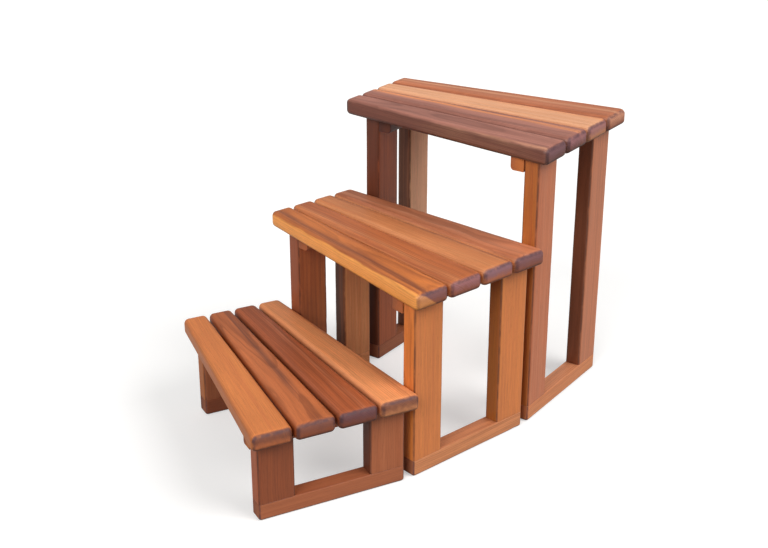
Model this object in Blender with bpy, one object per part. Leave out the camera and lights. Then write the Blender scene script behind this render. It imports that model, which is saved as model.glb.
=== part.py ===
"""Three free-standing cedar step benches that fan round a round spa, low, middle and high.

Each bench is a tapered slatted tread on an outer and a tub-side end frame. An end frame is a
bottom rail, two posts standing on it and a cleat behind the post tops, and every slat is
screwed to both cleats from beneath.

Each bench is built in its own axes: +X along the outer frame, +Y towards the tub, +Z up, with
the outer frame's face on Y = 0 and the floor on Z = 0. The world origin is on the floor, at the
middle of the underside of the middle bench's outer rail.
"""

import math

import bmesh
import bpy

MM = 0.001

# Stock
STOCK = 36 * MM
POST_WIDTH = 78 * MM
CLEAT_DEPTH = 32 * MM
CLEAT_HEIGHT = 28 * MM
JOINT_GAP = 0.3 * MM

# One bench in plan
FRAME_WIDTH = 318 * MM
TUB_FRAME_WIDTH = 206 * MM
TUB_FRAME_INSET = 437 * MM
TREAD_LENGTH = 550 * MM
TREAD_WIDTH = 358 * MM
TREAD_TUB_WIDTH = 228 * MM
TREAD_OVERHANG = 28 * MM
SLATS = 4
SLAT_GAP = 6 * MM

# The set of three
FIRST_RISE = 206 * MM
STEP_RISE = 214 * MM
FAN_RADIUS = 1416 * MM
FAN_PITCH = math.radians(13.7)

# Edges
SLAT_ROUND = 10 * MM
POST_ROUND = 6 * MM
RAIL_TOP_EASE = 1 * MM
CLEAT_ROUND = 8 * MM
CLEAT_END_EASE = 3 * MM
ROUND_STEPS = 3

# Slat screws
SCREW_LENGTH = 50 * MM
SCREW_RADIUS = 2.2 * MM
SCREW_HEAD_RADIUS = 4.4 * MM
SCREW_HEAD_RIM = 0.6 * MM
SCREW_HEAD_HEIGHT = 3.4 * MM
SCREW_POINT = 5 * MM
SCREW_RECESS = 1 * MM
SCREW_CLEARANCE = 0.4 * MM
SCREW_SIDES = 12
CUT_PAST = 5 * MM

# The cosine above which an edge counts as running along an axis
ALONG = 0.9
SMOOTH_UNDER = math.radians(40)

WOOD_ROUGHNESS = 0.42
STEEL = (0.62, 0.62, 0.6)
STEEL_ROUGHNESS = 0.32

# Wood colours, as linear RGB
AMBER = (0.68, 0.33, 0.13)
HONEY = (0.55, 0.27, 0.12)
TAN = (0.7, 0.38, 0.19)
PEACH = (0.78, 0.47, 0.27)
ROSE = (0.58, 0.27, 0.16)
RUSSET = (0.36, 0.12, 0.055)
UMBER = (0.27, 0.13, 0.085)
SIENNA = (0.43, 0.18, 0.085)
CORAL = (0.63, 0.26, 0.13)

BENCHES = {
    "low": {
        "place": -1,
        "slats": (AMBER, HONEY, RUSSET, AMBER),
        "posts": SIENNA,
        "rails": SIENNA,
    },
    "middle": {
        "place": 0,
        "slats": (HONEY, CORAL, TAN, ROSE),
        "posts": CORAL,
        "rails": ROSE,
    },
    "high": {
        "place": 1,
        "slats": (UMBER, SIENNA, PEACH, ROSE),
        "posts": CORAL,
        "rails": CORAL,
    },
}


def clear_scene():
    for obj in list(bpy.data.objects):
        bpy.data.objects.remove(obj, do_unlink=True)


def principled(name, colour, roughness, metallic):
    material = bpy.data.materials.new(name)
    material.use_nodes = True
    shader = material.node_tree.nodes["Principled BSDF"]
    shader.inputs["Base Color"].default_value = (*colour, 1)
    shader.inputs["Roughness"].default_value = roughness
    shader.inputs["Metallic"].default_value = metallic
    return material


def mesh_of(points, faces, name):
    mesh = bpy.data.meshes.new(name)
    mesh.from_pydata(points, [], faces)
    shape = bmesh.new()
    shape.from_mesh(mesh)
    bmesh.ops.recalc_face_normals(shape, faces=shape.faces)
    shape.to_mesh(mesh)
    shape.free()
    return mesh


def block(low, high, name):
    """A box between two corners."""
    corners = [(x, y, z) for z in (low[2], high[2]) for y in (low[1], high[1]) for x in (low[0], high[0])]
    faces = [(0, 1, 3, 2), (4, 5, 7, 6), (0, 1, 5, 4), (2, 3, 7, 6), (0, 2, 6, 4), (1, 3, 7, 5)]
    return mesh_of(corners, faces, name)


def turned(profile, centre, name):
    """A solid of revolution about an upright line through centre, from (radius, height) pairs."""
    points = [(centre[0], centre[1], profile[0][1])]
    for radius, height in profile[1:-1]:
        for side in range(SCREW_SIDES):
            turn = 2 * math.pi * side / SCREW_SIDES
            points.append((centre[0] + radius * math.cos(turn), centre[1] + radius * math.sin(turn), height))
    points.append((centre[0], centre[1], profile[-1][1]))
    last = len(points) - 1
    faces = []
    for side in range(SCREW_SIDES):
        following = (side + 1) % SCREW_SIDES
        faces.append((0, 1 + side, 1 + following))
        for ring in range(len(profile) - 3):
            start = 1 + ring * SCREW_SIDES
            above = start + SCREW_SIDES
            faces.append((start + side, start + following, above + following, above + side))
        top = last - SCREW_SIDES
        faces.append((top + side, top + following, last))
    return mesh_of(points, faces, name)


def joined(meshes, name):
    """One mesh of several separate closed shapes."""
    shape = bmesh.new()
    for mesh in meshes:
        shape.from_mesh(mesh)
    whole = bpy.data.meshes.new(name)
    shape.to_mesh(whole)
    shape.free()
    return whole


def edge_direction(mesh, edge):
    start, end = (mesh.vertices[i].co for i in edge.vertices)
    return (end - start).normalized()


def is_any(mesh, edge):
    return True


def is_upright(mesh, edge):
    return abs(edge_direction(mesh, edge).z) > ALONG


def is_crosswise(mesh, edge):
    return abs(edge_direction(mesh, edge).x) > ALONG


def edge_height(mesh, edge):
    return sum(mesh.vertices[i].co.z for i in edge.vertices) / 2


def edge_depth(mesh, edge):
    return sum(mesh.vertices[i].co.y for i in edge.vertices) / 2


def shaped(mesh, roundings, cutters):
    """The mesh with each (radius, steps, test) rounded on the edges that pass the test, then cut."""
    largest = max(radius for radius, _, _ in roundings)
    steps = max(count for _, count, _ in roundings)
    obj = bpy.data.objects.new(mesh.name, mesh)
    bpy.context.scene.collection.objects.link(obj)
    weights = mesh.attributes.new("bevel_weight_edge", "FLOAT", "EDGE")
    for edge in mesh.edges:
        for radius, _, test in roundings:
            if test(mesh, edge):
                weights.data[edge.index].value = radius / largest
    bevel = obj.modifiers.new("rounding", "BEVEL")
    bevel.width = largest
    bevel.segments = steps
    bevel.limit_method = "WEIGHT"
    if cutters:
        tool = bpy.data.objects.new(mesh.name + "_tool", joined(cutters, mesh.name + "_tool"))
        bpy.context.scene.collection.objects.link(tool)
        cut = obj.modifiers.new("holes", "BOOLEAN")
        cut.operation = "DIFFERENCE"
        cut.solver = "EXACT"
        cut.object = tool
    graph = bpy.context.evaluated_depsgraph_get()
    finished = bpy.data.meshes.new_from_object(obj.evaluated_get(graph))
    bpy.data.objects.remove(obj, do_unlink=True)
    if cutters:
        bpy.data.objects.remove(tool, do_unlink=True)
    return finished


def slat_centre(slat, depth):
    """Where a slat's middle line crosses a line that is this far in from the outer frame's face."""
    share = (depth + TREAD_OVERHANG) / TREAD_LENGTH
    outer_step = (TREAD_WIDTH + SLAT_GAP) / SLATS
    tub_step = (TREAD_TUB_WIDTH + SLAT_GAP) / SLATS
    step = outer_step + (tub_step - outer_step) * share
    return (slat - (SLATS - 1) / 2) * step


def screw_depths():
    """How far in from the outer frame's face the two rows of slat screws stand."""
    outer = STOCK + JOINT_GAP + CLEAT_DEPTH / 2
    tub = TUB_FRAME_INSET - JOINT_GAP - CLEAT_DEPTH / 2
    return {"outer": outer, "tub": tub}


def screw_profile(bottom, spare):
    """The screw, or with some spare the hole that clears it, standing on its head."""
    head = SCREW_HEAD_RADIUS + spare
    shank = SCREW_RADIUS + spare
    neck = bottom + SCREW_RECESS + SCREW_HEAD_HEIGHT
    rim = bottom + SCREW_RECESS + SCREW_HEAD_RIM
    start = bottom + SCREW_RECESS
    tip = start + SCREW_LENGTH + spare
    if spare:
        start = bottom - CUT_PAST
    return [
        (0, start),
        (head, start),
        (head, rim),
        (shank, neck),
        (shank, tip - SCREW_POINT),
        (0, tip),
    ]


def slat_mesh(slat, screw_bottom):
    outer_half = (TREAD_WIDTH - SLAT_GAP * (SLATS - 1)) / SLATS / 2
    tub_half = (TREAD_TUB_WIDTH - SLAT_GAP * (SLATS - 1)) / SLATS / 2
    near = -TREAD_OVERHANG
    far = near + TREAD_LENGTH
    outer = slat_centre(slat, near)
    tub = slat_centre(slat, far)
    corners = []
    for height in (0, STOCK):
        corners.append((outer - outer_half, near, height))
        corners.append((outer + outer_half, near, height))
        corners.append((tub + tub_half, far, height))
        corners.append((tub - tub_half, far, height))
    faces = [(0, 1, 2, 3), (4, 5, 6, 7), (0, 1, 5, 4), (1, 2, 6, 5), (2, 3, 7, 6), (3, 0, 4, 7)]
    mesh = mesh_of(corners, faces, "slat")
    roundings = [(SLAT_ROUND, ROUND_STEPS, is_any)]
    cutters = []
    for depth in screw_depths().values():
        profile = screw_profile(screw_bottom, SCREW_CLEARANCE)
        cutters.append(turned(profile, (slat_centre(slat, depth), depth), "hole"))
    return shaped(mesh, roundings, cutters)


def post_mesh(centre, depth, bottom, top):
    low = (centre - POST_WIDTH / 2, depth, bottom)
    high = (centre + POST_WIDTH / 2, depth + STOCK, top)
    return shaped(block(low, high, "post"), [(POST_ROUND, ROUND_STEPS, is_upright)], [])


def rail_mesh(width, depth):
    mesh = block((-width / 2, depth, 0), (width / 2, depth + STOCK, STOCK), "rail")
    middle = STOCK / 2

    def is_long_top(mesh, edge):
        return is_crosswise(mesh, edge) and edge_height(mesh, edge) > middle

    def is_low(mesh, edge):
        return edge_height(mesh, edge) < middle

    roundings = [
        (POST_ROUND, ROUND_STEPS, is_upright),
        (POST_ROUND, ROUND_STEPS, is_low),
        (RAIL_TOP_EASE, ROUND_STEPS, is_long_top),
    ]
    return shaped(mesh, roundings, [])


def cleat_mesh(width, near, free_side, bottom):
    """free_side is -1 where the cleat's free face looks outwards and 1 where it looks to the tub."""
    mesh = block((-width / 2, near, bottom), (width / 2, near + CLEAT_DEPTH, bottom + CLEAT_HEIGHT), "cleat")
    middle = near + CLEAT_DEPTH / 2

    def is_free_low(mesh, edge):
        low = edge_height(mesh, edge) < bottom + CLEAT_HEIGHT / 2
        return is_crosswise(mesh, edge) and low and (edge_depth(mesh, edge) - middle) * free_side > 0

    def is_end_free(mesh, edge):
        return is_upright(mesh, edge) and (edge_depth(mesh, edge) - middle) * free_side > 0

    roundings = [
        (CLEAT_ROUND, ROUND_STEPS, is_free_low),
        (CLEAT_END_EASE, ROUND_STEPS, is_end_free),
    ]
    cutters = []
    for slat in range(SLATS):
        profile = screw_profile(bottom, SCREW_CLEARANCE)
        cutters.append(turned(profile, (slat_centre(slat, middle), middle), "hole"))
    return shaped(mesh, roundings, cutters)


def place_part(name, mesh, bench, raised, material):
    """Puts a piece on its bench, with its own zero this far above the floor."""
    mesh.name = name
    mesh.materials.clear()
    mesh.materials.append(material)
    obj = bpy.data.objects.new(name, mesh)
    obj.parent = bench
    obj.location = (0, 0, raised)
    bpy.context.scene.collection.objects.link(obj)


def wood(name, colour):
    return principled(name, colour, WOOD_ROUGHNESS, 0)


def steel(name):
    return principled(name, STEEL, STEEL_ROUGHNESS, 1)


def build_end_frame(label, bench, width, depth, free_side, underside, plan):
    """A rail, two posts and a cleat. depth is how far in the frame's outward face stands."""
    rail = f"{label}_rail"
    place_part(rail, rail_mesh(width, depth), bench, 0, wood(rail, plan["rails"]))
    for hand, sign in (("left", -1), ("right", 1)):
        post = f"{label}_post_{hand}"
        centre = sign * (width - POST_WIDTH) / 2
        mesh = post_mesh(centre, depth, STOCK + JOINT_GAP, underside - JOINT_GAP)
        place_part(post, mesh, bench, 0, wood(post, plan["posts"]))
    cleat = f"{label}_cleat"
    near = depth + STOCK + JOINT_GAP if free_side > 0 else depth - JOINT_GAP - CLEAT_DEPTH
    mesh = cleat_mesh(width, near, free_side, underside - JOINT_GAP - CLEAT_HEIGHT)
    place_part(cleat, mesh, bench, 0, wood(cleat, plan["posts"]))


def build_slat(name, slat, bench, underside, colour):
    """A slat and its two screws. Their own zero is the slat's underside."""
    screw_bottom = -JOINT_GAP - CLEAT_HEIGHT
    place_part(name, slat_mesh(slat, screw_bottom), bench, underside, wood(name, colour))
    for row, depth in screw_depths().items():
        screw = f"{name}_{row}_screw"
        mesh = turned(screw_profile(screw_bottom, 0), (slat_centre(slat, depth), depth), screw)
        mesh.shade_smooth()
        mesh.set_sharp_from_angle(angle=SMOOTH_UNDER)
        place_part(screw, mesh, bench, underside, steel(screw))


def bench_axes(name, place):
    """An empty on the fan that carries one bench. The fan's pivot is on the tub's side."""
    axes = bpy.data.objects.new(name, None)
    turn = place * FAN_PITCH
    pivot = FAN_RADIUS - STOCK / 2
    axes.location = (FAN_RADIUS * math.sin(turn), pivot - FAN_RADIUS * math.cos(turn), 0)
    axes.rotation_euler.z = turn
    bpy.context.scene.collection.objects.link(axes)
    return axes


def build_bench(name, plan):
    bench = bench_axes(f"{name}_bench", plan["place"])
    top = FIRST_RISE + STEP_RISE * (plan["place"] + 1)
    underside = top - STOCK
    build_end_frame(f"{name}_outer", bench, FRAME_WIDTH, 0, 1, underside, plan)
    build_end_frame(f"{name}_tub", bench, TUB_FRAME_WIDTH, TUB_FRAME_INSET, -1, underside, plan)
    for slat in range(SLATS):
        build_slat(f"{name}_slat_{slat + 1}", slat, bench, underside, plan["slats"][slat])


clear_scene()
for name, plan in BENCHES.items():
    build_bench(name, plan)
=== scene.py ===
import math
import random

import bmesh
import bpy
import numpy as np
from mathutils import Matrix, Vector, noise


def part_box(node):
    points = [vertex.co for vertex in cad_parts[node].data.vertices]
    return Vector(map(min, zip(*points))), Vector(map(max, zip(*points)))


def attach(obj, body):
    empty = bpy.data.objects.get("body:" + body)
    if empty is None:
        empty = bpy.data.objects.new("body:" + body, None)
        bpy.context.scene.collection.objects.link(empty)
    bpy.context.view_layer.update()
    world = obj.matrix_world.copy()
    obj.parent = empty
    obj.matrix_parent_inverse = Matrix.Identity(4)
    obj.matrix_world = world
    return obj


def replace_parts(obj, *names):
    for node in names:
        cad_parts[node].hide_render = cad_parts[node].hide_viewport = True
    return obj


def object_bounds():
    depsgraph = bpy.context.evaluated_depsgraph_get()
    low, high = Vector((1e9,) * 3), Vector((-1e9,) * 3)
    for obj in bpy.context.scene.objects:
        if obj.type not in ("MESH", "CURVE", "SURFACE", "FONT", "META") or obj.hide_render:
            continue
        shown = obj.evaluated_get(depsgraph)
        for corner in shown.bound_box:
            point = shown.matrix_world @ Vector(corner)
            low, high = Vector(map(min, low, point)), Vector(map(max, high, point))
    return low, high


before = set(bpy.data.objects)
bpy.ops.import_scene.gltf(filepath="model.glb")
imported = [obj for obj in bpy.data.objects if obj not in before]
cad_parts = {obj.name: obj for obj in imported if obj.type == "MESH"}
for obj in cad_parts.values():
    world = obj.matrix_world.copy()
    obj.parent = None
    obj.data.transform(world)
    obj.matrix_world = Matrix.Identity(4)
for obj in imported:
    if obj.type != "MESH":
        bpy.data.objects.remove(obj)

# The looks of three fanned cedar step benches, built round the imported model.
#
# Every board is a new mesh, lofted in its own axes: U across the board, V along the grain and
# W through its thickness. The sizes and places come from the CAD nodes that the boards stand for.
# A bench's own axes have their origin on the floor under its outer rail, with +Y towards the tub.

MM = 0.001
UP = Vector((0, 0, 1))
BENCHES = ("low", "middle", "high")
ROWS = ("outer", "tub")
HANDS = ("left", "right")
SLATS = 4

# Arrises, in metres
SLAT_ROUND = 10.5 * MM
SLAT_END_ROUND = 13 * MM
POST_ROUND = 6 * MM
RAIL_TOP_ROUND = 1.2 * MM
CLEAT_ROUND = 8 * MM
CLEAT_END_ROUND = 3 * MM
SHARP = 0.6 * MM

# How the boards' shapes are worn. Drift and dents are shares of the arris's own radius
ARRIS_DRIFT = 0.14
ARRIS_DRIFT_CYCLES = 9
CORNER_APART = 7.3
DENTS = 3
DENT_DEPTH = 0.11
DENT_LENGTH = 7 * MM
DENTS_BETWEEN = (0.05, 0.95)
FACE_DRIFT = 0.12 * MM
FACE_DRIFT_CYCLES = 14

# How finely the boards are meshed
ARRIS_STEPS = 6
CELL = 9 * MM

# Screws, in metres. The drive is the six-lobed recess in the head
SCREW_SIDES = 24
HEAD_RADIUS = 4.4 * MM
HEAD_HEIGHT = 3.4 * MM
HEAD_RIM = 0.6 * MM
HEAD_EDGE = 0.25 * MM
SHANK_RADIUS = 1.75 * MM
SHANK_FILLET = 0.5 * MM
HEAD_FILLET = 0.3 * MM
PLAIN_SHANK = 14 * MM
THREAD_HEIGHT = 0.45 * MM
THREAD_PITCH = 2.1 * MM
THREAD_STEP = 0.42 * MM
THREAD_ROOT = 0.82
THREAD_CREST = 1.4
THREAD_SLOPE = 3.2
DRIVE_LOBES = 6
DRIVE_LOBE = 0.3 * MM
DRIVE_RADIUS = 1.9 * MM
DRIVE_FLOOR = 0.86
DRIVE_DEPTH = 1.7 * MM
DRIVE_EDGE = 0.12 * MM
POINT_LENGTH = 5 * MM
POINT_BLUNT = 0.12
POINT_GAP = 0.3 * MM

# Screw holes, in metres
HOLE_CLEARANCE = 0.4 * MM
HEAD_RECESS = 1 * MM
FRAME_SCREW_LENGTH = 63 * MM
CLEAT_SCREW_LENGTH = 50 * MM
CUT_PAST = 4 * MM

# Edges sharper than these many degrees stay sharp in the shading
BOARD_SMOOTH_UNDER = 40
SCREW_SMOOTH_UNDER = 30


def srgb(red, green, blue):
    """A colour given as 8-bit sRGB, as linear RGBA."""
    linear = []
    for value in (red, green, blue):
        share = value / 255
        linear.append(share / 12.92 if share <= 0.04045 else ((share + 0.055) / 1.055) ** 2.4)
    return (*linear, 1)


# The studio. A softbox has a strength, the angle in degrees that it fills, and where it stands
ROOM_LIGHT = 0.34
SEEN_LIGHT = 0.97
SOFTBOXES = {"key": (2.1, 40, (0.4, -0.8, 0.85)), "fill": (1.9, 35, (-0.9, -0.3, 0.65))}
WHITE = (1, 1, 1, 1)
FLOOR_SEEN = srgb(212, 211, 209)
FLOOR_BOUNCE = srgb(100, 92, 84)
FLOOR_GLOW = 0.42
FLOOR_ROUGHNESS = 0.7
FLOOR_HALF = 30
FLOOR_DROP = 0.2 * MM
CAMERA_PLACE = Vector((-1.751, -1.739, 1.475))
CAMERA_LENS = 63


# ---------------------------------------------------------------- the frame

def middle_of(node):
    low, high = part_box(node)
    return (low + high) / 2


def bench_axes(bench):
    """The bench's own axes, as a matrix into the row frame."""
    outer = middle_of(f"{bench}_outer_rail")
    inward = (middle_of(f"{bench}_tub_rail") - outer).normalized()
    right = inward.cross(UP)
    axes = Matrix((right, inward, UP)).transposed().to_4x4()
    axes.translation = (outer.x, outer.y, 0)
    return axes


AXES = {bench: bench_axes(bench) for bench in BENCHES}


def points_of(node, bench):
    """The CAD node's vertices in its bench's axes."""
    inverse = AXES[bench].inverted()
    return np.array([inverse @ vertex.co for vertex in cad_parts[node].data.vertices])


def box_of(node, bench):
    """The CAD node's lowest and highest corners in its bench's axes."""
    points = points_of(node, bench)
    return Vector(points.min(0)), Vector(points.max(0))


# ---------------------------------------------------------------- board meshes

class Board:
    """The plain facts of one board. Its outline gives its left and right sides at any v."""

    def __init__(self, length, outline, thickness, radii, ends, insets, place):
        self.length = length
        self.outline = outline
        self.thickness = thickness
        self.radii = radii  # of the four long arrises, anticlockwise from the low corner
        self.ends = ends  # how far its start and its stop are rounded
        self.insets = insets  # which sides the end rounding draws in: low u, high u, low w, high w
        self.place = place  # its axes in its bench's axes
        self.holes = []  # (screw length, screw place) in its bench's axes


def section(low, high, radii, cells):
    """A rounded rectangle between two (u, w) corners, as a closed list of points."""
    signs = ((-1, -1), (1, -1), (1, 1), (-1, 1))
    quarter = math.pi / 2
    arcs = []
    for turn, ((su, sw), radius) in enumerate(zip(signs, radii)):
        centre_u = (low[0] + radius) if su < 0 else (high[0] - radius)
        centre_w = (low[1] + radius) if sw < 0 else (high[1] - radius)
        arc = []
        for step in range(ARRIS_STEPS + 1):
            angle = math.pi + turn * quarter + step / ARRIS_STEPS * quarter
            arc.append((centre_u + radius * math.cos(angle), centre_w + radius * math.sin(angle)))
        arcs.append(arc)
    points = []
    for turn, arc in enumerate(arcs):
        points += arc
        start, stop = arc[-1], arcs[(turn + 1) % len(arcs)][0]
        count = cells[turn % 2]
        for cell in range(1, count):
            share = cell / count
            points.append(tuple(a + (b - a) * share for a, b in zip(start, stop)))
    return points


def stations(length, start_round, stop_round):
    """(v, start inset, stop inset) down the board, close together where its ends are rounded."""
    made = []
    for step in range(ARRIS_STEPS + 1):
        angle = step / ARRIS_STEPS * math.pi / 2
        made.append((start_round * (1 - math.cos(angle)), start_round * (1 - math.sin(angle)), 0))
    inner = length - start_round - stop_round
    count = max(2, round(inner / CELL))
    for cell in range(1, count):
        made.append((start_round + inner * cell / count, 0, 0))
    for step in range(ARRIS_STEPS, -1, -1):
        angle = step / ARRIS_STEPS * math.pi / 2
        inset = stop_round * (1 - math.sin(angle))
        made.append((length - stop_round * (1 - math.cos(angle)), 0, inset))
    return made


def arris_radius(board, corner, v, seed, dents):
    """An arris's radius at v: it drifts along the board, and is knocked rounder at its dents."""
    base = board.radii[corner]
    if base <= SHARP:
        return base
    spot = Vector((v * ARRIS_DRIFT_CYCLES, corner * CORNER_APART, seed))
    drift = 1 + ARRIS_DRIFT * noise.noise(spot)
    dent = sum(math.exp(-(((v - at) / DENT_LENGTH) ** 2)) for where, at in dents if where == corner)
    return base * (drift + DENT_DEPTH * dent)


def board_rings(board, seed):
    """The board's rounded sections, as lists of points in its own axes."""
    draw = random.Random(seed)
    dents = [(draw.randrange(4), draw.uniform(*DENTS_BETWEEN) * board.length) for _ in range(DENTS)]
    half = board.thickness / 2
    left, right = board.outline(0)
    cells = (max(2, round((right - left) / CELL)), max(2, round(board.thickness / CELL)))
    low_u, high_u, low_w, high_w = board.insets
    rings = []
    for v, start_inset, stop_inset in stations(board.length, *board.ends):
        inset = start_inset + stop_inset
        left, right = board.outline(v)
        low = (left + inset * low_u, -half + inset * low_w)
        high = (right - inset * high_u, half - inset * high_w)
        radii = []
        for corner in range(4):
            radii.append(max(SHARP / 2, arris_radius(board, corner, v, seed, dents) - inset))
        rings.append([(u, v, w) for u, w in section(low, high, radii, cells)])
    return rings


def finished_mesh(shape, name):
    mesh = bpy.data.meshes.new(name)
    shape.to_mesh(mesh)
    shape.free()
    return mesh


def board_mesh(name, board, seed):
    """Lofts the board through its sections, caps it, and lets its faces undulate a little."""
    shape = bmesh.new()
    rings = [[shape.verts.new(point) for point in ring] for ring in board_rings(board, seed)]
    count = len(rings[0])
    for ring, following in zip(rings, rings[1:]):
        for side in range(count):
            after = (side + 1) % count
            shape.faces.new((ring[side], ring[after], following[after], following[side]))
    shape.faces.new(rings[0][::-1])
    shape.faces.new(rings[-1])
    bmesh.ops.recalc_face_normals(shape, faces=shape.faces)
    for vertex in shape.verts:
        slow = noise.noise(vertex.co * FACE_DRIFT_CYCLES + Vector((seed, 0, 0)))
        vertex.co -= vertex.normal * FACE_DRIFT * (0.5 + 0.5 * slow)
    return finished_mesh(shape, name)


def cut_holes(mesh, board, name):
    """Cuts the board's screw holes with an exact Boolean and returns the finished mesh."""
    cutters = bmesh.new()
    for length, place in board.holes:
        hole = hole_mesh(length, name + "_hole")
        hole.transform(board.place.inverted() @ place)
        cutters.from_mesh(hole)
        bpy.data.meshes.remove(hole)
    tool = bpy.data.objects.new(name + "_tool", finished_mesh(cutters, name + "_holes"))
    blank = bpy.data.objects.new(name + "_blank", mesh)
    for obj in (tool, blank):
        bpy.context.scene.collection.objects.link(obj)
    cut = blank.modifiers.new("holes", "BOOLEAN")
    cut.operation = "DIFFERENCE"
    cut.solver = "EXACT"
    cut.object = tool
    graph = bpy.context.evaluated_depsgraph_get()
    finished = bpy.data.meshes.new_from_object(blank.evaluated_get(graph))
    for obj in (tool, blank):
        bpy.data.objects.remove(obj, do_unlink=True)
    return finished


def store_grain(mesh, board):
    """Keeps each point's place in the board, so that the grain runs with the piece."""
    grain = mesh.attributes.new("grain", "FLOAT_VECTOR", "POINT")
    values = []
    for vertex in mesh.vertices:
        left, right = board.outline(vertex.co.y)
        values += [vertex.co.x - (left + right) / 2, vertex.co.y, vertex.co.z]
    grain.data.foreach_set("vector", values)


# ---------------------------------------------------------------- screw meshes

def turned(rings, name):
    """A closed solid from rings of points, whose first and last rings are single points."""
    shape = bmesh.new()
    made = [[shape.verts.new(point) for point in ring] for ring in rings]
    for ring, following in zip(made, made[1:]):
        count = max(len(ring), len(following))
        for side in range(count):
            after = (side + 1) % count
            if len(ring) == 1:
                shape.faces.new((ring[0], following[after], following[side]))
            elif len(following) == 1:
                shape.faces.new((ring[side], ring[after], following[0]))
            else:
                shape.faces.new((ring[side], ring[after], following[after], following[side]))
    bmesh.ops.recalc_face_normals(shape, faces=shape.faces)
    return finished_mesh(shape, name)


def ring_of(radius_at, height):
    """A level ring of points, whose radius is a function of the angle round the screw."""
    points = []
    for side in range(SCREW_SIDES):
        angle = 2 * math.pi * side / SCREW_SIDES
        radius = radius_at(angle)
        points.append((radius * math.cos(angle), radius * math.sin(angle), height))
    return points


def circle(radius, height):
    return ring_of(lambda angle: radius, height)


def lobed(radius, height):
    return ring_of(lambda angle: radius + DRIVE_LOBE * math.cos(DRIVE_LOBES * angle), height)


def threaded(height, taper):
    """One ring of the thread, whose radius climbs and falls once in a turn."""
    def radius_at(angle):
        phase = (height / THREAD_PITCH - angle / (2 * math.pi)) % 1
        ridge = max(0, 1 - abs(phase - 0.5) * THREAD_SLOPE)
        return (SHANK_RADIUS * THREAD_ROOT + THREAD_HEIGHT * THREAD_CREST * ridge) * taper

    return ring_of(radius_at, height)


def screw_mesh(length, name):
    """A countersunk wood screw standing on its head, with a six-lobed recess and a real thread."""
    rings = [
        [(0, 0, DRIVE_DEPTH)],
        lobed(DRIVE_RADIUS * DRIVE_FLOOR, DRIVE_DEPTH),
        lobed(DRIVE_RADIUS, DRIVE_EDGE),
        lobed(DRIVE_RADIUS + DRIVE_EDGE, 0),
        circle(HEAD_RADIUS - HEAD_EDGE, 0),
        circle(HEAD_RADIUS, HEAD_EDGE),
        circle(HEAD_RADIUS, HEAD_RIM),
        circle(SHANK_RADIUS + SHANK_FILLET, HEAD_HEIGHT - HEAD_FILLET),
        circle(SHANK_RADIUS, HEAD_HEIGHT + SHANK_FILLET),
        circle(SHANK_RADIUS, PLAIN_SHANK),
    ]
    height = PLAIN_SHANK + THREAD_STEP
    while height < length - POINT_GAP:
        rings.append(threaded(height, min(1, POINT_BLUNT + (length - height) / POINT_LENGTH)))
        height += THREAD_STEP
    rings.append([(0, 0, length)])
    return turned(rings, name)


def hole_mesh(length, name):
    """The hole for a screw that stands on its head at z 0, with a counterbore below."""
    head = HEAD_RADIUS + HOLE_CLEARANCE
    shank = SHANK_RADIUS + THREAD_HEIGHT + HOLE_CLEARANCE
    start = -HEAD_RECESS - CUT_PAST
    stop = length + HOLE_CLEARANCE
    rings = [
        [(0, 0, start)],
        circle(head, start),
        circle(head, HEAD_RIM),
        circle(shank, HEAD_HEIGHT),
        circle(shank, stop - POINT_LENGTH),
        [(0, 0, stop)],
    ]
    return turned(rings, name)


# ---------------------------------------------------------------- materials

# Red cedar runs from pale sapwood to heartwood that oil and age have turned nearly black
TONES = {
    "sapwood": srgb(255, 170, 86),
    "wheat": srgb(234, 174, 134),
    "apricot": srgb(246, 156, 98),
    "blush": srgb(222, 154, 120),
    "honey": srgb(216, 142, 92),
    "orange": srgb(228, 132, 62),
    "amber": srgb(212, 128, 68),
    "rose": srgb(190, 126, 108),
    "salmon": srgb(200, 122, 84),
    "copper": srgb(196, 110, 62),
    "ochre": srgb(184, 104, 42),
    "russet": srgb(184, 96, 54),
    "cinnamon": srgb(168, 98, 62),
    "bronze": srgb(152, 86, 26),
    "brick": srgb(148, 80, 50),
    "chestnut": srgb(140, 72, 38),
    "tobacco": srgb(118, 58, 32),
    "umber": srgb(98, 46, 20),
    "bistre": srgb(76, 34, 18),
    "soot": srgb(58, 30, 22),
    "lilac": srgb(164, 110, 114),
    "violet": srgb(134, 100, 116),
    "plum": srgb(122, 84, 92),
    "maroon": srgb(126, 76, 62),
    "cocoa": srgb(102, 58, 46),
    "walnut": srgb(96, 48, 34),
    "aubergine": srgb(94, 62, 70),
    "knot": srgb(58, 30, 20),
    "pore": srgb(62, 38, 40),
    # The two rim tones are painted shade round the ends; the violet one is tinted as a painted reflection
    "shaded rim": srgb(62, 34, 28),
    "violet shaded rim": srgb(72, 44, 52),
}

# Patterns in the wood, as (cycles per millimetre across, along and through), detail and roughness
PATTERNS = {
    "pith drift": ((0.004, 0.0021, 0.004), 2.0, 0.5),
    "ring wobble": ((0.035, 0.009, 0.035), 3.0, 0.5),
    "cloud": ((0.018, 0.0045, 0.018), 3.0, 0.5),
    "fibre": ((0.55, 0.012, 0.55), 3.0, 0.6),
    "fine fibre": ((2.1, 0.035, 2.1), 3.0, 0.65),
    "tick": ((1.3, 0.06, 1.3), 1.0, 0.5),
    "streak waver": ((0.02, 0.006, 0.02), 2.0, 0.5),
    "streak breaks": ((0.3, 0.005, 0.3), 3.0, 0.5),
    "sapwood edge": ((0.01, 0.011, 0.01), 2.0, 0.5),
    "blotch": ((0.11, 0.11, 0.11), 3.0, 0.5),
    "end speck": ((1.6, 0.5, 1.6), 3.0, 0.7),
    "wear": ((0.09, 0.03, 0.09), 3.0, 0.5),
}
SEED_SKEW = 3.7
SECOND_DRIFT = (0, 0, 700)

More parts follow.
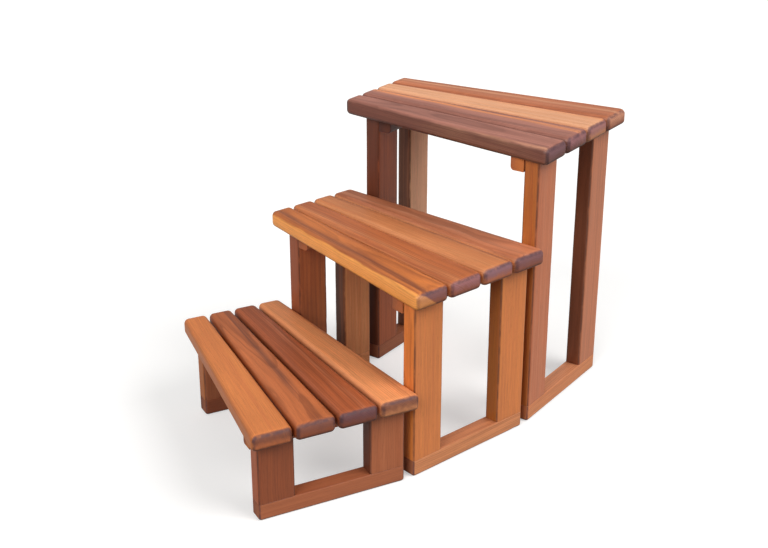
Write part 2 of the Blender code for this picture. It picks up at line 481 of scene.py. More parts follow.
# Ramps are given as (start, stop), or as (start, stop, value at the start, value at the stop).
# These go by how squarely a surface faces along an axis of the board, as a squared cosine
SIDE_FACING = (0.35, 0.9)
END_FACING = (0.06, 0.55)
ARRIS_FACING = (0.55, 0.92)
SOIL_AND_SHADE_FACING = (0.66, 0.97)
RIM_START = (0.05, 0.35)
RIM_STOP = (0.6, 0.97)

# Noise mostly lies between these
NOISE_RANGE = (0.3, 0.7)

# Growth rings, in millimetres. Each ring darkens towards its late wood, some more than others
RING_WOBBLE = 2.6
RING_SPACING = ((0.045, 1, 1), 5.0)
LATE_WOOD_RISE = (0.35, 0.88)
LATE_WOOD_FALL = (0.92, 1.0)
RING_CHANCE = (0.71, 1, 1)
RING_FAINTEST = 0.35

# A pin knot pushes the rings aside over about twice its radius
KNOT_SQUEEZE = (1, 0.55, 1)
KNOT_FALLOFF = -0.22
KNOT_PUSH = 1.8
KNOT_EDGE = (0.75, 1.25)
KNOT_STRENGTH = 0.85

# Heartwood bands, the streak and the sapwood, in millimetres and shares
BAND_ALONG = 0.0016
BAND_PATTERN = ((1, 1, 1), 3.0, 0.55)
BAND_STRENGTH = 0.6
STREAK_WAVER = 16.0
STREAK_BREAKS = (0.25, 0.6)
SAP_WAVER = 22.0
SAP_SLOPE = 1.6
SAP_WOBBLE = 14.0
SAP_EDGE = (-3.5, 5.0)
SAP_STRENGTH = 0.92
SAP_LATE_WOOD = 0.25
SIDE_BANDS = 0.3
SIDE_LATE_WOOD = 0.5

# How much each pattern changes the brightness, as (share, base), and what counts as a tick
CLOUD_VALUE = (0.3, 0.85)
FIBRE_VALUE = (0.6, 0.7)
FINE_VALUE = (0.34, 0.83)
TICK_VALUE = (-0.22, 1.0)
TICK_AT = (0.62, 0.74)

# End grain drinks more oil. Its upper part is violet, as a painted reflection
END_STRENGTH = 0.9
END_OF_SAPWOOD = -0.45
UPPER_BLOTCH = (14.0, 7.0)
UPPER_EDGE = (-13.0, 9.0)
END_LATE_WOOD = 0.45
END_SPECK = 0.45
RIM_BLOTCH = (0.3, 0.62, 0.1, 0.65)
RIM_OF_SAPWOOD = -0.8

# Arrises: worn pale in places, and dark where oil and dirt have gathered and as painted shade
WORN_AT = (0.5, 0.72)
WORN_STRENGTH = 0.28
SOIL_AND_SHADE_WEAR = (0.4, 0.7, 1.0, 0.55)
SOIL_AND_SHADE_UPWARD = (0.0, 0.6, 1.0, 0.35)

# Painted shade: a face is darker the more its normal points down
PAINTED_UNDERSIDE_SHADE = (-0.75, -0.05, 0.68, 1.0)

# The finish: a thin, old coat of oil
SHINE_FIBRE = (0.16, 0.36)
SHINE_END = 0.22
SHINE_WORN = 0.1
SHINE_CLOUD = 0.12
HEIGHT_FINE = 0.024
HEIGHT_FIBRE = 0.04
HEIGHT_TICK = -0.02
HEIGHT_END = 0.12
BUMP_STRENGTH = 0.8
OIL_SPECULAR = 0.4
OIL_COAT = 0.1
OIL_COAT_ROUGHNESS = 0.26

# Zinc-plated steel, with patterns as above and its relief in millimetres
ZINC_BRIGHT = srgb(196, 194, 188)
ZINC_DULL = srgb(158, 156, 150)
ZINC_CLOUD = ((0.9, 0.9, 0.9), 4.0, 0.6)
ZINC_DULL_AT = (0.35, 0.65)
ZINC_ROUGHNESS = (0.3, 0.18)
ZINC_SCRATCH = ((6, 6, 0.5), 2.0, 0.5)
ZINC_RELIEF = 0.02
ZINC_BUMP_STRENGTH = 0.4


class Graph:
    """Short ways to add nodes to one node tree."""

    def __init__(self, tree):
        self.tree = tree

    def node(self, kind, **settings):
        made = self.tree.nodes.new("ShaderNode" + kind)
        for key, value in settings.items():
            setattr(made, key, value)
        return made

    def feed(self, socket, value):
        if isinstance(value, bpy.types.NodeSocket):
            self.tree.links.new(value, socket)
        else:
            socket.default_value = value

    def math(self, operation, *values):
        made = self.node("Math", operation=operation)
        for socket, value in zip(made.inputs, values):
            self.feed(socket, value)
        return made.outputs[0]

    def add(self, first, second):
        return self.math("ADD", first, second)

    def subtract(self, first, second):
        return self.math("SUBTRACT", first, second)

    def times(self, first, second):
        return self.math("MULTIPLY", first, second)

    def scaled(self, value, factor, base):
        """value * factor + base"""
        return self.math("MULTIPLY_ADD", value, factor, base)

    def square(self, value):
        return self.times(value, value)

    def vector(self, operation, *values):
        made = self.node("VectorMath", operation=operation)
        for socket, value in zip(made.inputs, values):
            self.feed(socket, value)
        return made.outputs["Value" if operation in ("DOT_PRODUCT", "LENGTH") else "Vector"]

    def noise(self, place, stretch, detail=2.0, roughness=0.5):
        """Noise at a place in millimetres, with stretch in cycles per millimetre."""
        made = self.node("TexNoise", noise_dimensions="3D")
        self.feed(made.inputs["Vector"], self.vector("MULTIPLY", place, stretch))
        made.inputs["Scale"].default_value = 1
        made.inputs["Detail"].default_value = detail
        made.inputs["Roughness"].default_value = roughness
        return made.outputs[0]

    def ramp(self, value, start, stop, low=0.0, high=1.0):
        """Goes smoothly from low to high as the value goes from start to stop."""
        made = self.node("MapRange", interpolation_type="SMOOTHSTEP")
        for socket, setting in zip(made.inputs, (value, start, stop, low, high)):
            self.feed(socket, setting)
        return made.outputs[0]

    def fall(self, value, start, stop):
        """Goes smoothly from 1 to 0 as the value goes from start to stop."""
        return self.ramp(value, start, stop, 1.0, 0.0)

    def mix(self, share, first, second, blend="MIX"):
        made = self.node("Mix", data_type="RGBA", blend_type=blend)
        self.feed(made.inputs[0], share)
        self.feed(made.inputs[6], first)
        self.feed(made.inputs[7], second)
        return made.outputs[2]

    def dim(self, colour, value):
        return self.mix(1.0, colour, self.combine(value, value, value), "MULTIPLY")

    def combine(self, x, y, z):
        made = self.node("CombineXYZ")
        for socket, value in zip(made.inputs, (x, y, z)):
            self.feed(socket, value)
        return made.outputs[0]

    def separate(self, value):
        made = self.node("SeparateXYZ")
        self.feed(made.inputs[0], value)
        return made.outputs

    def bump(self, height, strength):
        """A normal from a height in millimetres."""
        made = self.node("Bump")
        made.inputs["Strength"].default_value = strength
        made.inputs["Distance"].default_value = MM
        self.feed(made.inputs["Height"], height)
        return made.outputs["Normal"]


# What one board's wood is given. Lengths are in millimetres, in the board's own axes
CEDAR_INPUTS = {
    "Light": ("Color", TONES["amber"]),
    "Heart": ("Color", TONES["brick"]),
    "Late": ("Color", TONES["tobacco"]),
    "Side": ("Color", TONES["copper"]),
    "End": ("Color", TONES["plum"]),
    "Sap": ("Color", TONES["sapwood"]),
    "Streak": ("Color", TONES["cocoa"]),
    "Pith": ("Vector", (0, 0, -90)),
    "Ring": ("Float", 3.0),
    "Ring strength": ("Float", 0.4),
    "Band width": ("Float", 9.0),
    "Wander": ("Float", 9.0),
    "Sap from": ("Float", 1000.0),
    "Side strength": ("Float", 0.75),
    "Streak at": ("Float", 0.0),
    "Streak width": ("Float", 8.0),
    "Streak strength": ("Float", 0.0),
    "Soil and shade": ("Float", 0.2),
    "Knot": ("Vector", (0, -1000, 0)),
    "Knot radius": ("Float", 3.0),
    "Seed": ("Float", 0.0),
    "U": ("Vector", (1, 0, 0)),
    "V": ("Vector", (0, 1, 0)),
    "W": ("Vector", (0, 0, 1)),
}
CEDAR_OUTPUTS = {"Color": "Color", "Roughness": "Float", "Normal": "Vector"}


class Cedar(Graph):
    """Oiled red cedar as a solid. Each method works out one thing that shows in the wood."""

    def __init__(self, tree):
        super().__init__(tree)
        self.given = tree.nodes.new("NodeGroupInput").outputs
        seed = self.given["Seed"]
        grain = self.node("Attribute", attribute_name="grain").outputs["Vector"]
        self.place = self.vector("MULTIPLY", grain, (1 / MM, 1 / MM, 1 / MM))
        shift = self.combine(seed, self.times(seed, SEED_SKEW), 0)
        self.shifted = self.vector("ADD", self.place, shift)
        self.across, self.along, self.through = self.separate(self.place)

        normal = self.node("NewGeometry").outputs["Normal"]
        facing = [self.square(self.vector("DOT_PRODUCT", normal, self.given[axis])) for axis in "UVW"]
        self.sideways, self.endways, faceways = facing
        self.flat = self.math("MAXIMUM", self.math("MAXIMUM", self.sideways, self.endways), faceways)
        self.upward = self.separate(normal)[2]

        self.wobble = self.subtract(self.pattern("ring wobble"), 0.5)
        self.cloud = self.pattern("cloud")
        self.fibre = self.pattern("fibre")
        self.fine = self.pattern("fine fibre")
        self.tick = self.ramp(self.pattern("tick"), *TICK_AT)
        self.blotch = self.pattern("blotch")
        self.end_speck = self.pattern("end speck")
        self.wear = self.pattern("wear")

        self.to_knot = self.knot_distance()
        self.reach = self.ring_radius()
        self.late = self.late_wood()
        self.band = self.heartwood_band()
        self.sap = self.sapwood_share()
        self.upper = self.upper_share()
        self.end_share = self.end_grain_share()
        self.worn = self.worn_share()

    def pattern(self, name, place=None):
        return self.noise(self.shifted if place is None else place, *PATTERNS[name])

    def knot_distance(self):
        """How far a point is from the board's pin knot, in knot radii."""
        offset = self.vector("SUBTRACT", self.place, self.given["Knot"])
        length = self.vector("LENGTH", self.vector("MULTIPLY", offset, KNOT_SQUEEZE))
        return self.math("DIVIDE", length, self.given["Knot radius"])

    def ring_radius(self):
        """How far a point is from a pith that wanders along the board."""
        pith = self.separate(self.given["Pith"])
        wander = self.times(self.given["Wander"], 2)
        second = self.vector("ADD", self.shifted, SECOND_DRIFT)
        offsets = []
        for spot, centre, place in ((self.across, pith[0], None), (self.through, pith[2], second)):
            drift = self.subtract(self.pattern("pith drift", place), 0.5)
            offsets.append(self.scaled(drift, wander, self.subtract(spot, centre)))
        reach = self.math("SQRT", self.add(self.square(offsets[0]), self.square(offsets[1])))
        reach = self.scaled(self.wobble, RING_WOBBLE, reach)
        swirl = self.math("EXPONENT", self.times(self.square(self.to_knot), KNOT_FALLOFF))
        return self.scaled(swirl, self.times(self.given["Knot radius"], KNOT_PUSH), reach)

    def late_wood(self):
        """The dark part of each growth ring."""
        stretch, amount = RING_SPACING
        spacing = self.noise(self.combine(self.reach, self.given["Seed"], 0), stretch)
        phase = self.scaled(spacing, amount, self.math("DIVIDE", self.reach, self.given["Ring"]))
        ring = self.math("FRACT", phase)
        late = self.times(self.ramp(ring, *LATE_WOOD_RISE), self.fall(ring, *LATE_WOOD_FALL))
        number = self.combine(self.math("FLOOR", phase), self.given["Seed"], 0)
        each = self.noise(number, RING_CHANCE, 0.0)
        return self.times(late, self.ramp(each, *NOISE_RANGE, RING_FAINTEST, 1.0))

    def heartwood_band(self):
        """Darker bands of heartwood, which follow the rings and drift along the board."""
        outward = self.math("DIVIDE", self.reach, self.given["Band width"])
        place = self.combine(outward, self.times(self.along, BAND_ALONG), self.given["Seed"])
        return self.ramp(self.noise(place, *BAND_PATTERN), *NOISE_RANGE)

    def streak_share(self):
        """One broader streak down the board, which wavers and comes and goes."""
        waver = self.scaled(self.pattern("streak waver"), STREAK_WAVER, -STREAK_WAVER / 2)
        off = self.add(self.subtract(self.across, self.given["Streak at"]), waver)
        off = self.math("DIVIDE", off, self.given["Streak width"])
        share = self.math("EXPONENT", self.times(self.square(off), -1.0))
        share = self.times(share, self.ramp(self.pattern("streak breaks"), *STREAK_BREAKS))
        return self.times(share, self.given["Streak strength"])

    def sapwood_share(self):
        """Sapwood lies beyond a wavy line on the board's left side, and reaches further in below."""
        edge = self.scaled(self.pattern("sapwood edge"), SAP_WAVER, -SAP_WAVER / 2)
        depth = self.subtract(self.subtract(edge, self.across), self.given["Sap from"])
        depth = self.subtract(depth, self.times(self.through, SAP_SLOPE))
        return self.ramp(self.scaled(self.wobble, SAP_WOBBLE, depth), *SAP_EDGE)

    def upper_share(self):
        """How far up its end a point is, with a blotchy border."""
        amount, middle = UPPER_BLOTCH
        return self.ramp(self.scaled(self.blotch, amount, self.subtract(self.through, middle)), *UPPER_EDGE)

    def end_grain_share(self):
        return self.times(self.ramp(self.endways, *END_FACING), self.scaled(self.sap, END_OF_SAPWOOD, 1.0))

    def worn_share(self):
        return self.times(self.fall(self.flat, *ARRIS_FACING), self.ramp(self.wear, *WORN_AT))

    def with_late_wood(self, colour, share):
        return self.mix(self.times(self.late, share), colour, self.given["Late"])

    def faces(self):
        """The colour of the long faces."""
        given = self.given
        colour = self.mix(self.times(self.band, BAND_STRENGTH), given["Light"], given["Heart"])
        colour = self.mix(self.streak_share(), colour, given["Streak"])
        colour = self.with_late_wood(colour, given["Ring strength"])
        side = self.mix(self.times(self.band, SIDE_BANDS), given["Side"], given["Late"])
        side = self.with_late_wood(side, SIDE_LATE_WOOD)
        side_share = self.times(self.ramp(self.sideways, *SIDE_FACING), given["Side strength"])
        colour = self.mix(side_share, colour, side)
        sapwood = self.with_late_wood(given["Sap"], SAP_LATE_WOOD)
        return self.mix(self.times(self.sap, SAP_STRENGTH), colour, sapwood)

    def brightness(self):
        """Brightness drifts, and fibres and short dark ticks run through it."""
        value = self.scaled(self.cloud, *CLOUD_VALUE)
        value = self.times(value, self.scaled(self.fibre, *FIBRE_VALUE))
        value = self.times(value, self.scaled(self.fine, *FINE_VALUE))
        return self.times(value, self.scaled(self.tick, *TICK_VALUE))

    def end_grain(self):
        # On most slats the End tone is violet: the upper part of the end holds a painted reflection
        wood = self.mix(self.upper, self.given["Heart"], self.given["End"])
        wood = self.with_late_wood(wood, END_LATE_WOOD)
        return self.mix(self.times(self.end_speck, END_SPECK), wood, TONES["pore"])

    def soil_and_shade_share(self):
        """Dirt and painted shade in the arrises, less on those that face up."""
        share = self.times(self.fall(self.flat, *SOIL_AND_SHADE_FACING), self.ramp(self.wear, *SOIL_AND_SHADE_WEAR))
        share = self.times(share, self.ramp(self.upward, *SOIL_AND_SHADE_UPWARD))
        return self.times(share, self.given["Soil and shade"])

    def shaded_rim_share(self):
        """The arris round an end, darkened there as painted shade."""
        share = self.times(self.ramp(self.endways, *RIM_START), self.fall(self.endways, *RIM_STOP))
        share = self.times(share, self.ramp(self.blotch, *RIM_BLOTCH))
        return self.times(share, self.scaled(self.sap, RIM_OF_SAPWOOD, 1.0))

    def colour(self):
        colour = self.dim(self.faces(), self.brightness())
        colour = self.mix(self.times(self.end_share, END_STRENGTH), colour, self.end_grain())
        knot = self.times(self.fall(self.to_knot, *KNOT_EDGE), KNOT_STRENGTH)
        colour = self.mix(knot, colour, TONES["knot"])
        colour = self.mix(self.times(self.worn, WORN_STRENGTH), colour, self.given["Light"])
        # Dirt and painted shade in the arrises
        colour = self.mix(self.soil_and_shade_share(), colour, TONES["soot"])
        # Painted shade round the ends, violet on their upper part as a painted reflection
        rim = self.mix(self.upper, TONES["shaded rim"], TONES["violet shaded rim"])
        colour = self.mix(self.shaded_rim_share(), colour, rim)
        # Painted shade on the faces that look down
        return self.dim(colour, self.ramp(self.upward, *PAINTED_UNDERSIDE_SHADE))

    def roughness(self):
        shine = self.scaled(self.fibre, *SHINE_FIBRE)
        shine = self.scaled(self.end_share, SHINE_END, shine)
        shine = self.scaled(self.worn, SHINE_WORN, shine)
        return self.scaled(self.cloud, SHINE_CLOUD, shine)

    def height(self):
        """The relief of the fibres, in millimetres, and the open pores of the end grain."""
        height = self.scaled(self.fine, HEIGHT_FINE, self.times(self.fibre, HEIGHT_FIBRE))
        height = self.scaled(self.tick, HEIGHT_TICK, height)
        return self.scaled(self.times(self.end_speck, self.end_share), HEIGHT_END, height)


def cedar_group():
    """The wood of every board, as one node group that each board's material is given its own way."""
    tree = bpy.data.node_groups.new("cedar", "ShaderNodeTree")
    for name, (kind, value) in CEDAR_INPUTS.items():
        socket = tree.interface.new_socket(name, in_out="INPUT", socket_type="NodeSocket" + kind)
        socket.default_value = value
    for name, kind in CEDAR_OUTPUTS.items():
        tree.interface.new_socket(name, in_out="OUTPUT", socket_type="NodeSocket" + kind)
    wood = Cedar(tree)
    result = tree.nodes.new("NodeGroupOutput").inputs
    wood.feed(result["Color"], wood.colour())
    wood.feed(result["Roughness"], wood.roughness())
    wood.feed(result["Normal"], wood.bump(wood.height(), BUMP_STRENGTH))
    return tree


CEDAR = cedar_group()


def cedar(name, look, turn):
    """One board's own wood. turn holds the board's axes in the row frame as its columns."""
    material = bpy.data.materials.new(name)
    material.use_nodes = True
    tree = material.node_tree
    shader = tree.nodes["Principled BSDF"].inputs
    wood = tree.nodes.new("ShaderNodeGroup")
    wood.node_tree = CEDAR
    for key, value in look.items():
        wood.inputs[key].default_value = value
    for column, axis in enumerate("UVW"):
        wood.inputs[axis].default_value = turn.col[column]
    for made, socket in (("Color", "Base Color"), ("Roughness", "Roughness"), ("Normal", "Normal")):
        tree.links.new(wood.outputs[made], shader[socket])
    shader["Specular IOR Level"].default_value = OIL_SPECULAR
    shader["Coat Weight"].default_value = OIL_COAT
    shader["Coat Roughness"].default_value = OIL_COAT_ROUGHNESS
    return material


def steel():
    """Zinc-plated screw steel, a little cloudy and finely scratched."""
    material = bpy.data.materials.new("zinc_plated_steel")
    material.use_nodes = True
    g = Graph(material.node_tree)
    shader = material.node_tree.nodes["Principled BSDF"].inputs
    position = g.node("NewGeometry").outputs["Position"]
    place = g.vector("MULTIPLY", position, (1 / MM, 1 / MM, 1 / MM))
    cloud = g.noise(place, *ZINC_CLOUD)
    relief = g.times(g.noise(place, *ZINC_SCRATCH), ZINC_RELIEF)
    g.feed(shader["Base Color"], g.mix(g.ramp(cloud, *ZINC_DULL_AT), ZINC_BRIGHT, ZINC_DULL))
    g.feed(shader["Roughness"], g.scaled(cloud, *ZINC_ROUGHNESS))
    g.feed(shader["Normal"], g.bump(relief, ZINC_BUMP_STRENGTH))
    shader["Metallic"].default_value = 1
    return material


# ---------------------------------------------------------------- the wood of each board

# How a board was sawn. The pith of its tree lies far to its side when it is quarter sawn, which
# gives narrow, straight grain, and close below it when it is flat sawn, which gives wide arches
QUARTER = {"Pith": (-170, 0, -20), "Wander": 7.0, "Ring": 2.6, "Ring strength": 0.36, "Band width": 8.0}
RIFT = {"Pith": (-75, 0, -80), "Wander": 9.0, "Ring": 3.0, "Ring strength": 0.4, "Band width": 9.0}
FLAT = {"Pith": (6, 0, -62), "Wander": 11.0, "Ring": 3.6, "Ring strength": 0.45, "Band width": 7.0}

# Late wood's share of its heartwood's red, green and blue
LATE_WOOD = (0.66, 0.58, 0.54)


def wood(cut, face, heart, side, end):
    """One board: its cut, and the tones of its faces, their darker bands, its narrow sides and its ends."""
    late = (*(value * share for value, share in zip(TONES[heart], LATE_WOOD)), 1)
    tones = {"Light": TONES[face], "Heart": TONES[heart], "Side": TONES[side], "End": TONES[end]}
    return {**cut, **tones, "Late": late}


def streak(tone, at, width, strength):
    """A streak that runs down the board, at so many millimetres from its middle line."""
    return {"Streak": TONES[tone], "Streak at": at, "Streak width": width, "Streak strength": strength}


# By board, or by material slot where boards share one look
LOOKS = {
    "low_slat_1": wood(QUARTER, "amber", "copper", "ochre", "cocoa"),
    "low_slat_2": wood(FLAT, "copper", "chestnut", "chestnut", "maroon"),
    "low_slat_3": wood(RIFT, "russet", "tobacco", "chestnut", "aubergine"),
    # low_slat_4's pale apricot face is partly painted light, making up for the middle bench's shadow on it
    "low_slat_4": wood(RIFT, "apricot", "honey", "salmon", "cocoa"),
    "low_outer_post_left": wood(RIFT, "chestnut", "tobacco", "russet", "brick"),
    # The dark bistre sides of low_outer_post_right are partly painted shade, for its inner side in the
    # bench's shade
    "low_outer_post_right": wood(RIFT, "cinnamon", "chestnut", "bistre", "brick"),
    "low_tub_post_left": wood(RIFT, "cinnamon", "brick", "ochre", "brick"),
    "low_tub_post_right": wood(RIFT, "cinnamon", "chestnut", "chestnut", "brick"),
    "low_outer_rail": wood(QUARTER, "cinnamon", "brick", "brick", "cinnamon"),
    "low_tub_rail": wood(QUARTER, "brick", "tobacco", "brick", "cinnamon"),
    "low_cleats": wood(QUARTER, "copper", "brick", "russet", "amber"),
    "middle_slat_1": wood(FLAT, "orange", "brick", "amber", "plum"),
    "middle_slat_2": wood(RIFT, "copper", "brick", "honey", "lilac"),
    "middle_slat_3": wood(QUARTER, "honey", "copper", "honey", "violet"),
    "middle_slat_4": wood(FLAT, "salmon", "brick", "honey", "plum"),
    "middle_outer_post_left": wood(QUARTER, "amber", "copper", "orange", "copper"),
    # The dark sides of middle_outer_post_right and middle_tub_post_right, and the tub-side posts' darker
    # faces, are partly painted shade
    "middle_outer_post_right": wood(QUARTER, "amber", "copper", "bronze", "copper"),
    "middle_tub_post_left": wood(QUARTER, "copper", "brick", "brick", "cinnamon"),
    "middle_tub_post_right": wood(QUARTER, "honey", "copper", "soot", "cinnamon"),
    "middle_outer_rail": wood(RIFT, "honey", "cinnamon", "salmon", "cinnamon"),
    "middle_tub_rail": wood(RIFT, "honey", "copper", "salmon", "copper"),
    "middle_cleats": wood(QUARTER, "amber", "cinnamon", "copper", "copper"),
    "high_slat_1": wood(FLAT, "rose", "cocoa", "walnut", "plum"),
    "high_slat_2": wood(RIFT, "rose", "cocoa", "maroon", "lilac"),
    "high_slat_3": wood(QUARTER, "wheat", "honey", "salmon", "lilac"),
    "high_slat_4": wood(RIFT, "salmon", "brick", "cinnamon", "blush"),
    "high_outer_post_left": wood(QUARTER, "salmon", "russet", "ochre", "copper"),
    # The dark sides of high_outer_post_right and both high tub-side posts, and high_tub_post_left's darker
    # face, are partly painted shade; high_tub_post_right's pale face is partly painted light
    "high_outer_post_right": wood(QUARTER, "salmon", "cinnamon", "umber", "copper"),
    "high_tub_post_left": wood(QUARTER, "russet", "chestnut", "bistre", "brick"),
    "high_tub_post_right": wood(QUARTER, "wheat", "blush", "bistre", "brick"),
    "high_outer_rail": wood(RIFT, "honey", "copper", "blush", "copper"),
    "high_tub_rail": wood(RIFT, "cinnamon", "brick", "cinnamon", "cinnamon"),
    # The high tub cleat's dark tones are partly painted shade, for its place under the tread beside the tub
    "high_tub_cleat": wood(QUARTER, "cocoa", "bistre", "tobacco", "umber"),
    "high_cleats": wood(QUARTER, "honey", "copper", "copper", "orange"),
}

# What single boards have besides: streaks, one of them a painted highlight, arrises darker from dirt and
# painted shade, a pin knot, and sapwood along one edge
FEATURES = {
    "low_slat_2": {"Soil and shade": 0.4, "Knot": (37, 62, 13), "Knot radius": 2.2, **streak("cocoa", 9, 9, 0.75)},
    "low_slat_3": {"Soil and shade": 0.5, **streak("salmon", 10, 5, 0.5)},
    "low_slat_4": streak("russet", 26, 11, 0.6),
    "middle_slat_1": {"Sap": TONES["sapwood"], "Sap from": 8.0, **streak("cocoa", -13, 9, 0.7)},
    "middle_slat_2": streak("honey", -20, 9, 0.55),
    "middle_slat_3": streak("brick", 27, 10, 0.7),
    "middle_slat_4": streak("blush", -6, 5, 0.5),
    # high_slat_1's pale wheat streak along its top left arris is a painted highlight
    "high_slat_1": {"Soil and shade": 0.75, **streak("wheat", -37, 4, 0.75)},
    "high_slat_2": {"Soil and shade": 0.5, **streak("apricot", 14, 6, 1.0)},
    "high_slat_3": streak("orange", 30, 8, 0.75),
    "high_slat_4": streak("wheat", 4, 6, 0.6),
}

# How strongly a board's narrow sides differ from its faces, and how dark its arrises are from dirt and
# painted shade
USES = {
    "posts": {"Side strength": 0.9, "Soil and shade": 0.72, "Ring strength": 0.2},
    "rails": {"Side strength": 0.5, "Soil and shade": 0.3},
    "cleats": {"Side strength": 0.4, "Soil and shade": 0.3},
}
SLAT_USE = {"Side strength": 0.75, "Soil and shade": 0.2}


# ---------------------------------------------------------------- pieces

# The axes of each kind of board in its bench's axes, with U, V and W as the columns
SLAT_TURN = Matrix.Identity(3)
POST_TURN = Matrix(((1, 0, 0), (0, 0, 1), (0, -1, 0))).transposed()
RAIL_TURN = Matrix(((0, 0, 1), (-1, 0, 0), (0, -1, 0))).transposed()
SEEDS = iter(range(11, 1000, 17))
SEED_APART = 37.0


def placed(turn, origin):
    place = turn.to_4x4()
    place.translation = origin
    return place


def add_piece(name, mesh, place, material, smooth_under):
    """Adds a mesh in the row frame. place takes it there from its own axes."""
    mesh.name = name
    mesh.transform(place)
    mesh.materials.clear()
    mesh.materials.append(material)
    mesh.shade_smooth()
    mesh.set_sharp_from_angle(angle=math.radians(smooth_under))
    piece = bpy.data.objects.new(name, mesh)
    bpy.context.scene.collection.objects.link(piece)
    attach(piece, "root")
    return piece


def add_board(node, bench, board, slot):
    """Builds the board that stands for one CAD node."""
    seed = next(SEEDS)
    mesh = cut_holes(board_mesh(node, board, seed), board, node)
    store_grain(mesh, board)
    place = AXES[bench] @ board.place
    use = USES.get(slot.split("_")[-1], SLAT_USE)
    wood_of_board = LOOKS.get(node) or LOOKS[slot]
    look = {**wood_of_board, **use, **FEATURES.get(node, {}), "Seed": seed * SEED_APART}
    material = cedar(node + "_cedar", look, place.to_3x3())
    piece = add_piece(node + "_board", mesh, place, material, BOARD_SMOOTH_UNDER)
    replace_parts(piece, node)


def slat_outline(node, bench, near, far):
    """The slat's tapering sides, read from the CAD slat's vertices at both ends."""
    points = points_of(node, bench)
    middle = (near + far) / 2
    start = points[points[:, 1] < middle]
    stop = points[points[:, 1] > middle]
    sides = []
    for extreme in (np.argmin, np.argmax):
        first = start[extreme(start[:, 0])]
        last = stop[extreme(stop[:, 0])]
        slope = (last[0] - first[0]) / (last[1] - first[1])
        sides.append((first[0] + (near - first[1]) * slope, slope))

    def outline(v):
        return tuple(start_u + slope * v for start_u, slope in sides)

    return outline


def straight(half):
    """The outline of a board that is as wide all along."""
    return lambda v: (-half, half)


def slat_board(node, bench):
    low, high = box_of(node, bench)
    outline = slat_outline(node, bench, low.y, high.y)
    place = placed(SLAT_TURN, (0, low.y, (low.z + high.z) / 2))
    ends = (SLAT_END_ROUND, SLAT_END_ROUND)
    return Board(high.y - low.y, outline, high.z - low.z, [SLAT_ROUND] * 4, ends, (1, 1, 1, 1), place)


def post_board(node, bench):
    low, high = box_of(node, bench)
    size, middle = high - low, (low + high) / 2
    place = placed(POST_TURN, (middle.x, middle.y, low.z))
    outline = straight(size.x / 2)
    return Board(size.z, outline, size.y, [POST_ROUND] * 4, (SHARP, SHARP), (1, 1, 1, 1), place)


def level_board(node, bench, radii, end_round, insets):
    """A board that lies along the bench's X, as the rails and the cleats do."""
    low, high = box_of(node, bench)
    size, middle = high - low, (low + high) / 2
    place = placed(RAIL_TURN, (high.x, middle.y, middle.z))
    return Board(size.x, straight(size.z / 2), size.y, radii, (end_round, end_round), insets, place)


def rail_board(node, bench):
    radii = [POST_ROUND, RAIL_TOP_ROUND, RAIL_TOP_ROUND, POST_ROUND]
    return level_board(node, bench, radii, POST_ROUND, (1, 0, 1, 1))


def cleat_board(node, bench, row):
    """A cleat, rounded along its lower inner arris."""
    if row == "outer":
        return level_board(node, bench, [CLEAT_ROUND, SHARP, SHARP, SHARP], CLEAT_END_ROUND, (0, 0, 1, 0))
    return level_board(node, bench, [SHARP, SHARP, SHARP, CLEAT_ROUND], CLEAT_END_ROUND, (0, 0, 0, 1))


def bench_boards(bench):
    """Every board of a bench by its node, with its material slot."""
    boards = {}
    for slat in range(1, SLATS + 1):
        node = f"{bench}_slat_{slat}"
        boards[node] = (slat_board(node, bench), node)
    for row in ROWS:
        for hand in HANDS:
            node = f"{bench}_{row}_post_{hand}"
            boards[node] = (post_board(node, bench), f"{bench}_posts")
        rail, cleat = f"{bench}_{row}_rail", f"{bench}_{row}_cleat"
        boards[rail] = (rail_board(rail, bench), f"{bench}_rails")
        boards[cleat] = (cleat_board(cleat, bench, row), f"{bench}_cleats")
    return boards


def standing(x, y, z):
    """A screw that stands on its head at a point in the bench's axes."""
    return Matrix.Translation((x, y, z))


def lying(x, y, z, towards):
    """A screw whose head is at a point, and whose tip points along the bench's Y, out or in."""
    return Matrix.Translation((x, y, z)) @ Matrix.Rotation(math.radians(-90 * towards), 4, "X")


def add_screw(name, bench, length, place, material):
    mesh = screw_mesh(length, name)
    return add_piece(name, mesh, AXES[bench] @ place, material, SCREW_SMOOTH_UNDER)


def drill(boards, nodes, length, place):
    """Gives each of the boards a hole for one screw."""
    for node in nodes:
        boards[node][0].holes.append((length, place))


def add_slat_screws(bench, boards, material):
    """The screws from beneath, through a cleat into a slat, which the CAD has as nodes."""
    for slat in range(1, SLATS + 1):
        for row in ROWS:
            node = f"{bench}_slat_{slat}_{row}_screw"
            low, high = box_of(node, bench)
            length = high.z - low.z
            place = standing((low.x + high.x) / 2, (low.y + high.y) / 2, low.z)
            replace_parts(add_screw(node + "_steel", bench, length, place, material), node)
            drill(boards, (f"{bench}_slat_{slat}", f"{bench}_{row}_cleat"), length, place)


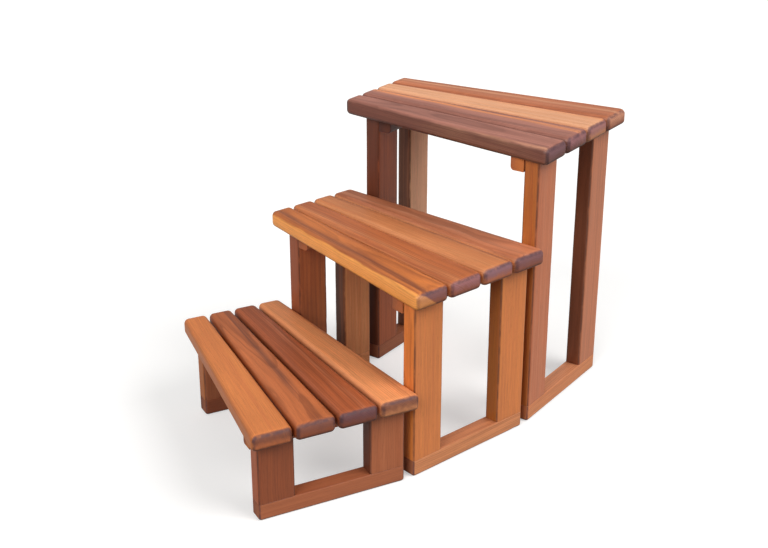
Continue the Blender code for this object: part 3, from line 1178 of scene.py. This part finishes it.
def add_frame_screws(bench, boards, material):
    """The screws up through a rail, and through a cleat, into a post."""
    for row in ROWS:
        towards = -1 if row == "outer" else 1
        rail, cleat = f"{bench}_{row}_rail", f"{bench}_{row}_cleat"
        rail_low, _ = box_of(rail, bench)
        cleat_low, cleat_high = box_of(cleat, bench)
        free_face = cleat_high.y if row == "outer" else cleat_low.y
        for hand in HANDS:
            post = f"{bench}_{row}_post_{hand}"
            low, high = box_of(post, bench)
            middle = (low + high) / 2
            upright = standing(middle.x, middle.y, rail_low.z + HEAD_RECESS)
            head_y = free_face + towards * HEAD_RECESS
            level = lying(middle.x, head_y, (cleat_low.z + cleat_high.z) / 2, towards)
            add_screw(f"{post}_rail_screw", bench, FRAME_SCREW_LENGTH, upright, material)
            add_screw(f"{post}_cleat_screw", bench, CLEAT_SCREW_LENGTH, level, material)
            drill(boards, (post, rail), FRAME_SCREW_LENGTH, upright)
            drill(boards, (post, cleat), CLEAT_SCREW_LENGTH, level)


def build_bench(bench, screw_steel):
    boards = bench_boards(bench)
    add_slat_screws(bench, boards, screw_steel)
    add_frame_screws(bench, boards, screw_steel)
    for node, (board, slot) in boards.items():
        add_board(node, bench, board, slot)


# ---------------------------------------------------------------- stage

def floor_material():
    """Pale to the camera, less so to the light that it bounces, and clear from below."""
    material = bpy.data.materials.new("pale_floor")
    material.use_nodes = True
    nodes = material.node_tree.nodes
    g = Graph(material.node_tree)
    shader = nodes["Principled BSDF"]
    ray = g.node("LightPath").outputs
    g.feed(shader.inputs["Base Color"], g.mix(ray["Is Diffuse Ray"], FLOOR_SEEN, FLOOR_BOUNCE))
    g.feed(shader.inputs["Emission Strength"], g.times(ray["Is Camera Ray"], FLOOR_GLOW))
    shader.inputs["Emission Color"].default_value = WHITE
    shader.inputs["Roughness"].default_value = FLOOR_ROUGHNESS
    one_sided = g.node("MixShader")
    g.feed(one_sided.inputs[0], g.node("NewGeometry").outputs["Backfacing"])
    g.feed(one_sided.inputs[1], shader.outputs[0])
    g.feed(one_sided.inputs[2], g.node("BsdfTransparent").outputs[0])
    g.feed(nodes["Material Output"].inputs["Surface"], one_sided.outputs[0])
    return material


def build_floor():
    mesh = bpy.data.meshes.new("floor")
    corners = [(x * FLOOR_HALF, y * FLOOR_HALF, 0) for x, y in ((-1, -1), (1, -1), (1, 1), (-1, 1))]
    mesh.from_pydata(corners, [], [(0, 1, 2, 3)])
    mesh.materials.append(floor_material())
    floor = bpy.data.objects.new("floor", mesh)
    floor.location.z = -FLOOR_DROP
    bpy.context.scene.collection.objects.link(floor)


def build_light():
    """A bright, even studio: broad softboxes from the front right and the left, in a pale surround."""
    scene = bpy.context.scene
    scene.view_settings.view_transform = "Standard"
    scene.world = bpy.data.worlds.new("studio")
    scene.world.use_nodes = True
    g = Graph(scene.world.node_tree)
    seen = g.node("LightPath").outputs["Is Camera Ray"]
    backdrop = scene.world.node_tree.nodes["Background"]
    backdrop.inputs["Color"].default_value = WHITE
    g.feed(backdrop.inputs["Strength"], g.scaled(seen, SEEN_LIGHT - ROOM_LIGHT, ROOM_LIGHT))
    for name, (strength, softness, place) in SOFTBOXES.items():
        lamp = bpy.data.lights.new(name, "SUN")
        lamp.energy = strength
        lamp.angle = math.radians(softness)
        softbox = bpy.data.objects.new(name, lamp)
        softbox.rotation_euler = Vector(place).to_track_quat("Z", "Y").to_euler()
        scene.collection.objects.link(softbox)


def build_camera(aim):
    camera = bpy.data.objects.new("camera", bpy.data.cameras.new("camera"))
    camera.data.lens = CAMERA_LENS
    camera.location = CAMERA_PLACE
    camera.rotation_euler = (aim - CAMERA_PLACE).to_track_quat("-Z", "Y").to_euler()
    bpy.context.scene.collection.objects.link(camera)
    bpy.context.scene.camera = camera


cad_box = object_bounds()
screw_steel = steel()
for bench in BENCHES:
    build_bench(bench, screw_steel)
build_floor()
build_light()
build_camera((cad_box[0] + cad_box[1]) / 2)
